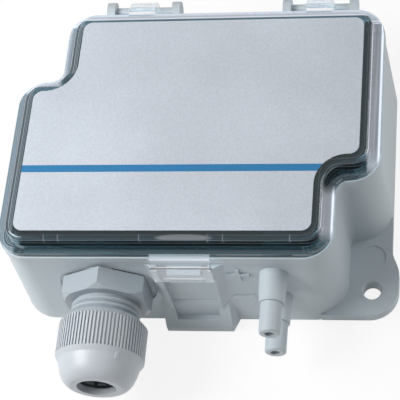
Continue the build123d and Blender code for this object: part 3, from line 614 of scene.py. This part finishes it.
def plastic(name, colour, roughness, grain=0.0006, contrast=0.05):
    """Opaque moulded plastic with a fine grain."""
    return grained(name, colour, roughness, grain, contrast, 0.00003, 0.5, IOR=1.5)


def metal(name, colour, roughness):
    """Plated or drawn metal with a fine unevenness."""
    return grained(name, colour, roughness, 0.0003, 0.08, 0.00001, 0.3, Metallic=1.0)


def dress(node, material):
    """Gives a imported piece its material."""
    piece = nodes[node]
    piece.data.materials.clear()
    piece.data.materials.append(material)


def block(low, high, taper):
    """Corners and faces of a small block whose top is drawn in by taper on every side."""
    floor = [(low.x, low.y), (high.x, low.y), (high.x, high.y), (low.x, high.y)]
    roof = [
        (low.x + taper, low.y + taper), (high.x - taper, low.y + taper),
        (high.x - taper, high.y - taper), (low.x + taper, high.y - taper),
    ]
    corners = [(*c, low.z) for c in floor] + [(*c, high.z) for c in roof]
    faces = [(3, 2, 1, 0), (4, 5, 6, 7)] + [(i, (i + 1) % 4, (i + 1) % 4 + 4, i + 4) for i in range(4)]
    return corners, faces


def add_piece(name, parts, material, body):
    """One mesh made of several (corners, faces) parts, riding on a body."""
    corners = []
    faces = []
    for part_corners, part_faces in parts:
        faces += [tuple(i + len(corners) for i in face) for face in part_faces]
        corners += part_corners
    mesh = bpy.data.meshes.new(name)
    mesh.from_pydata(corners, [], faces)
    mesh.materials.append(material)
    piece = bpy.data.objects.new(name, mesh)
    bpy.context.scene.collection.objects.link(piece)
    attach(piece, body)
    return piece


def loose_parts(node):
    """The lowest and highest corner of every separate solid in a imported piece."""
    piece = nodes[node]
    mesh = bmesh.new()
    mesh.from_mesh(piece.data)
    bmesh.ops.remove_doubles(mesh, verts=mesh.verts, dist=1e-6)
    left = set(mesh.verts)
    boxes = []
    while left:
        heap = [left.pop()]
        found = []
        while heap:
            vertex = heap.pop()
            found.append(piece.matrix_world @ vertex.co)
            for edge in vertex.link_edges:
                other = edge.other_vert(vertex)
                if other in left:
                    left.remove(other)
                    heap.append(other)
        low = Vector([min(v[i] for v in found) for i in range(3)])
        high = Vector([max(v[i] for v in found) for i in range(3)])
        boxes.append((low, high))
    mesh.free()
    return sorted(boxes, key=lambda b: (round(b[0].x, 5), round(b[0].y, 5)))


def board_details(solder, track):
    """Tinned ends, solder and tracks of the small parts on the circuit board."""
    chips = loose_parts("chip_components")
    cap = Vector((CAP_LENGTH, 0, 0))
    skin = Vector((CAP_SKIN, CAP_SKIN, CAP_SKIN))
    ends = []
    fillets = []
    for low, high in chips:
        left_end = (low, Vector((low.x, high.y, high.z)) + cap, -SOLDER_REACH)
        right_end = (Vector((high.x, low.y, low.z)) - cap, high, 0.0)
        for a, b, outside in (left_end, right_end):
            ends.append(block(a - skin, b + skin, CAP_TAPER))
            rise = low.z + (high.z - low.z) * SOLDER_RISE
            start = Vector((a.x + outside, low.y - SOLDER_MARGIN, low.z))
            stop = Vector((b.x + outside + SOLDER_REACH, high.y + SOLDER_MARGIN, rise))
            fillets.append(block(start, stop, SOLDER_TAPER))
    add_piece("chip_end_caps", ends, solder, "housing")
    add_piece("solder_fillets", fillets, solder, "housing")

    base = top("circuit_board").z
    chip_low, chip_high = bottom("microcontroller"), top("microcontroller")
    row = chip_high.y - chip_low.y - 2 * TRACK_MARGIN
    strips = []
    for i, (low, high) in enumerate(chips):
        on_right = low.x > chip_high.x
        x = low.x if on_right else high.x
        y = (low.y + high.y) / 2
        goal_x = chip_high.x if on_right else chip_low.x
        goal_y = chip_low.y + TRACK_MARGIN + row * i / (len(chips) - 1)
        turn_x = (x + goal_x) / 2
        route = ((x, y), (turn_x, y), (turn_x, goal_y), (goal_x, goal_y))
        for a, b in zip(route, route[1:]):
            start = Vector((min(a[0], b[0]) - TRACK_HALF, min(a[1], b[1]) - TRACK_HALF, base))
            stop = Vector((max(a[0], b[0]) + TRACK_HALF, max(a[1], b[1]) + TRACK_HALF, base + TRACK_LIFT))
            strips.append(block(start, stop, TRACK_LIFT / 2))
    add_piece("board_tracks", strips, track, "housing")


def nut_mark(nylon):
    """The short raised bar where the cap nut's ribbed band turns into its dome."""
    low, high = bottom("gland_nut"), top("gland_nut")
    axis_x, axis_z = (low.x + high.x) / 2, (low.z + high.z) / 2
    corners = []
    for rise, inner, outer in MARK_ENDS:
        for radius, spread in ((inner, MARK_HALF), (outer, MARK_HALF * 0.7)):
            for angle in (MARK_TURN - spread, MARK_TURN + spread):
                x = axis_x + radius * math.cos(angle)
                z = axis_z + radius * math.sin(angle)
                corners.append((x, low.y + rise, z))
    faces = [(0, 1, 3, 2), (6, 7, 5, 4), (2, 3, 7, 6), (4, 5, 1, 0), (0, 2, 6, 4), (5, 7, 3, 1)]
    add_piece("nut_mark", [(corners, faces)], nylon, "cap_nut")


def clear_plastic(settings):
    """Tinted clear plastic for the lid, with painted shade and painted light in its colour and painted
    highlights in its emission.
    """
    s = Shader("Clear lid plastic")
    shade = s.group(
        lid_painted_light_and_shade(), Deep=(*settings.deep, 1), Pale=(*settings.pale, 1), Clear=(*settings.tint, 1),
        Edge_light=(*settings.painted_highlight_colour, 1), Side=rim_side, End=rim_end,
        Step_side=rim_side - NOTCH_WIDTH, Step_end=rim_end - NOTCH_HEIGHT,
    )
    s.set(
        Base_Color=shade["Colour"], Roughness=settings.roughness, IOR=1.58, Transmission_Weight=1.0,
        Specular_Tint=REFLECTION_TINT, Emission_Color=shade["Painted highlight"], Emission_Strength=1.0,
    )
    shadow = s.add("ShaderNodeLightPath").outputs["Is Shadow Ray"]
    clear = s.add("ShaderNodeBsdfTransparent", in_Color=SHADOW_TINT)
    s.show(s.blend(shadow, s.principled.outputs["BSDF"], clear.outputs["BSDF"]))
    return s.material


def label_film(settings):
    """Printed film: a plain ground with one stripe across it."""
    s = Shader("Label film")
    place = s.place()
    spot = s.split(place)
    stripe = s.join(
        "MULTIPLY", s.math("GREATER_THAN", spot["Y"], settings.stripe_low),
        s.math("LESS_THAN", spot["Y"], settings.stripe_low + settings.stripe_width),
        s.math("GREATER_THAN", spot["Z"], bottom("front_label").z + LABEL_BACKING),
    )
    ground = s.group(moulded_grain(), Spacing=0.00035, Contrast=0.16, Colour=(*settings.colour, 1))
    speckle = s.noise(place, 2600.0, 1.0)
    grain = s.math("MULTIPLY_ADD", speckle, settings.speckle, 1 - settings.speckle / 2)
    film = s.scaled(ground["Colour"], grain)
    s.set(
        Base_Color=s.mix(stripe, film, (*settings.stripe, 1)),
        Roughness=s.math("ADD", ground["Roughness shift"], 0.36),
    )
    s.bump(ground["Height"], 0.00001, 0.3)
    return s.material


class TRANSMITTER_OT_housing(Operator):
    """Finish the grey housing with its grain"""

    bl_idname = "transmitter.housing"
    bl_label = "Housing"

    def execute(self, context):
        settings = context.scene.transmitter_housing
        colour = tuple(settings.colour)
        dress("base_housing", plastic("Housing plastic", colour, settings.roughness, settings.grain))
        return {"FINISHED"}


class TRANSMITTER_OT_lid(Operator):
    """Finish the clear lid, with painted light and shade on its rim, and its gasket"""

    bl_idname = "transmitter.lid"
    bl_label = "Lid"

    def execute(self, context):
        dress("lid", clear_plastic(context.scene.transmitter_lid))
        dress("lid_gasket", plastic("Gasket foam", linear(168, 172, 176), 0.7, 0.0004))
        return {"FINISHED"}


def label_piece(material):
    """The label again, with its back just off the lid, so that the two faces don't share a plane."""
    mesh = nodes["front_label"].data.copy()
    mesh.name = "label_film"
    back = bottom("front_label").z
    for vertex in mesh.vertices:
        vertex.co.z = max(vertex.co.z, back + LABEL_GAP)
    mesh.materials.clear()
    mesh.materials.append(material)
    piece = bpy.data.objects.new("label_film", mesh)
    bpy.context.scene.collection.objects.link(piece)
    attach(piece, "lid")
    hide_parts("front_label")


class TRANSMITTER_OT_label(Operator):
    """Finish the printed front label"""

    bl_idname = "transmitter.label"
    bl_label = "Label"

    def execute(self, context):
        film = label_film(context.scene.transmitter_label)
        dress("front_label", film)
        label_piece(film)
        return {"FINISHED"}


class TRANSMITTER_OT_gland(Operator):
    """Finish the cable gland"""

    bl_idname = "transmitter.gland"
    bl_label = "Cable gland"

    def execute(self, context):
        settings = context.scene.transmitter_gland
        nylon = plastic("Gland nylon", tuple(settings.nylon), 0.4, 0.0008)
        dress("gland_nut", nylon)
        # Painted shade: the body and the lock nut take a darker copy of the nut's nylon
        shaded_body_nylon = plastic("Gland shaded body nylon", tuple(settings.shaded_body_nylon), 0.42, 0.0008)
        for node in ("gland_body", "gland_locknut"):
            dress(node, shaded_body_nylon)
        nut_mark(nylon)
        rubber = plastic("Gland rubber", tuple(settings.rubber), 0.65, 0.0004)
        for node in ("gland_seal", "gland_washer"):
            dress(node, rubber)
        return {"FINISHED"}


class TRANSMITTER_OT_board(Operator):
    """Finish the circuit board and everything on it"""

    bl_idname = "transmitter.board"
    bl_label = "Circuit board"

    def execute(self, context):
        dress("circuit_board", plastic("Board laminate", linear(24, 84, 48), 0.3, 0.0015, 0.2))
        steel = metal("Bright steel", linear(200, 200, 200), 0.3)
        for node in ("board_screws", "terminal_clamps", "terminal_screws"):
            dress(node, steel)
        dress("terminal_block", plastic("Terminal plastic", linear(58, 130, 74), 0.45))
        black = plastic("Black plastic", linear(34, 34, 36), 0.45)
        for node in (
            "pressure_sensor", "zero_button_case", "jumper_header", "microcontroller", "voltage_regulator",
        ):
            dress(node, black)
        tube = plastic("Silicone tube", linear(214, 214, 206), 0.35)
        for node in ("sensor_tube_high", "sensor_tube_low"):
            dress(node, tube)
        white = plastic("White plastic", linear(226, 226, 220), 0.35)
        for node in ("zero_button_plunger", "status_led"):
            dress(node, white)
        dress("jumper_pins", metal("Plated pins", linear(214, 176, 98), 0.3))
        dress("jumper_caps", plastic("Jumper plastic", linear(38, 88, 160), 0.4))
        dress("capacitor_can", metal("Drawn can", linear(206, 206, 208), 0.35))
        dress("chip_components", plastic("Chip ceramic", linear(120, 108, 96), 0.4))
        board_details(
            metal("Solder", linear(196, 198, 202), 0.35),
            plastic("Board track", linear(44, 120, 70), 0.3, 0.0015, 0.1),
        )
        return {"FINISHED"}


def floor_sheet(scene, settings):
    """The wide floor, which is seen nearly white and still takes the shadow."""
    mesh = bpy.data.meshes.new("Floor")
    corners = [(x * FLOOR_HALF, y * FLOOR_HALF, 0) for x, y in ((-1, -1), (1, -1), (1, 1), (-1, 1))]
    mesh.from_pydata(corners, [], [(0, 1, 2, 3)])
    floor = bpy.data.objects.new("Floor", mesh)
    floor.location.z = -FLOOR_DROP
    scene.collection.objects.link(floor)
    s = Shader("Floor paper")
    s.set(Roughness=0.9, Base_Color=(*settings.floor, 1), Specular_IOR_Level=0.0)
    share = s.math("MULTIPLY", s.seen_plainly(), settings.floor_white)
    white = s.add("ShaderNodeEmission", in_Strength=1.0)
    s.show(s.blend(share, s.principled.outputs["BSDF"], white.outputs["Emission"]))
    floor.data.materials.append(s.material)


def surround(scene, settings):
    """A surround that is seen white, and lights the scene more softly."""
    scene.world = bpy.data.worlds.new("Surround")
    scene.world.use_nodes = True
    graph = Graph(scene.world.node_tree)
    graph.tree.nodes.clear()
    out = graph.add("ShaderNodeOutputWorld")
    soft, white = (
        graph.add("ShaderNodeBackground", in_Color=(1, 1, 1, 1), in_Strength=strength).outputs[0]
        for strength in (settings.world, 1.0)
    )
    graph.feed(graph.blend(graph.seen_plainly(), soft, white), out.inputs["Surface"])


def lamp(scene, name, place, size, power):
    """A square lamp that faces the origin."""
    data = bpy.data.lights.new(name, "AREA")
    data.shape = "SQUARE"
    data.size = size
    data.energy = power
    light = bpy.data.objects.new(name, data)
    light.location = place
    light.rotation_euler = (-Vector(place)).to_track_quat("-Z", "Y").to_euler()
    scene.collection.objects.link(light)


def portrait_camera(scene, settings):
    """The long lens that looks down on the transmitter's front."""
    data = bpy.data.cameras.new("Portrait camera")
    data.sensor_fit = "HORIZONTAL"
    data.sensor_width = 36.0
    data.lens = settings.lens
    data.shift_x, data.shift_y = CAMERA_SHIFT
    data.clip_start = 0.01
    data.clip_end = 20.0
    camera = bpy.data.objects.new("Portrait camera", data)
    turn = Matrix((Vector(CAMERA_RIGHT), -Vector(CAMERA_DOWN), -Vector(CAMERA_AHEAD))).transposed()
    camera.matrix_world = Matrix.Translation(CAMERA_PLACE) @ turn.to_4x4()
    scene.collection.objects.link(camera)
    scene.camera = camera


class TRANSMITTER_OT_stage(Operator):
    """Set the floor, the lamps, the surround and the camera"""

    bl_idname = "transmitter.stage"
    bl_label = "Stage"

    def execute(self, context):
        scene = context.scene
        settings = scene.transmitter_studio
        scene.view_settings.view_transform = "Standard"
        floor_sheet(scene, settings)
        surround(scene, settings)
        lamp(scene, "Key lamp", *KEY_LAMP, settings.key)
        lamp(scene, "Fill lamp", *FILL_LAMP, settings.fill)
        portrait_camera(scene, settings)
        return {"FINISHED"}


class TRANSMITTER_PT_finish(Panel):
    """Lists the finishing steps of the transmitter"""

    bl_idname = "TRANSMITTER_PT_finish"
    bl_label = "Transmitter"
    bl_space_type = "VIEW_3D"
    bl_region_type = "UI"
    bl_category = "Transmitter"

    def draw(self, context):
        layout = self.layout
        for step in STEPS:
            layout.operator(step)
        for group in GROUPS:
            settings = getattr(context.scene, group)
            box = layout.box()
            for name in settings.bl_rna.properties.keys():
                if name not in ("rna_type", "name"):
                    box.prop(settings, name)


GROUPS = {
    "transmitter_housing": TransmitterHousing,
    "transmitter_lid": TransmitterLid,
    "transmitter_label": TransmitterLabel,
    "transmitter_gland": TransmitterGland,
    "transmitter_studio": TransmitterStudio,
}
STEPS = (
    "transmitter.housing",
    "transmitter.lid",
    "transmitter.label",
    "transmitter.gland",
    "transmitter.board",
    "transmitter.stage",
)
CLASSES = (
    *GROUPS.values(),
    TRANSMITTER_OT_housing,
    TRANSMITTER_OT_lid,
    TRANSMITTER_OT_label,
    TRANSMITTER_OT_gland,
    TRANSMITTER_OT_board,
    TRANSMITTER_OT_stage,
    TRANSMITTER_PT_finish,
)


def register():
    for cls in CLASSES:
        bpy.utils.register_class(cls)
    for name, cls in GROUPS.items():
        setattr(bpy.types.Scene, name, PointerProperty(type=cls))


def unregister():
    for name in GROUPS:
        delattr(bpy.types.Scene, name)
    for cls in reversed(CLASSES):
        bpy.utils.unregister_class(cls)


def main():
    """Runs every finishing step in order."""
    register()
    for step in STEPS:
        family, name = step.split(".")
        getattr(getattr(bpy.ops, family), name)()


if __name__ == "__main__":
    main()
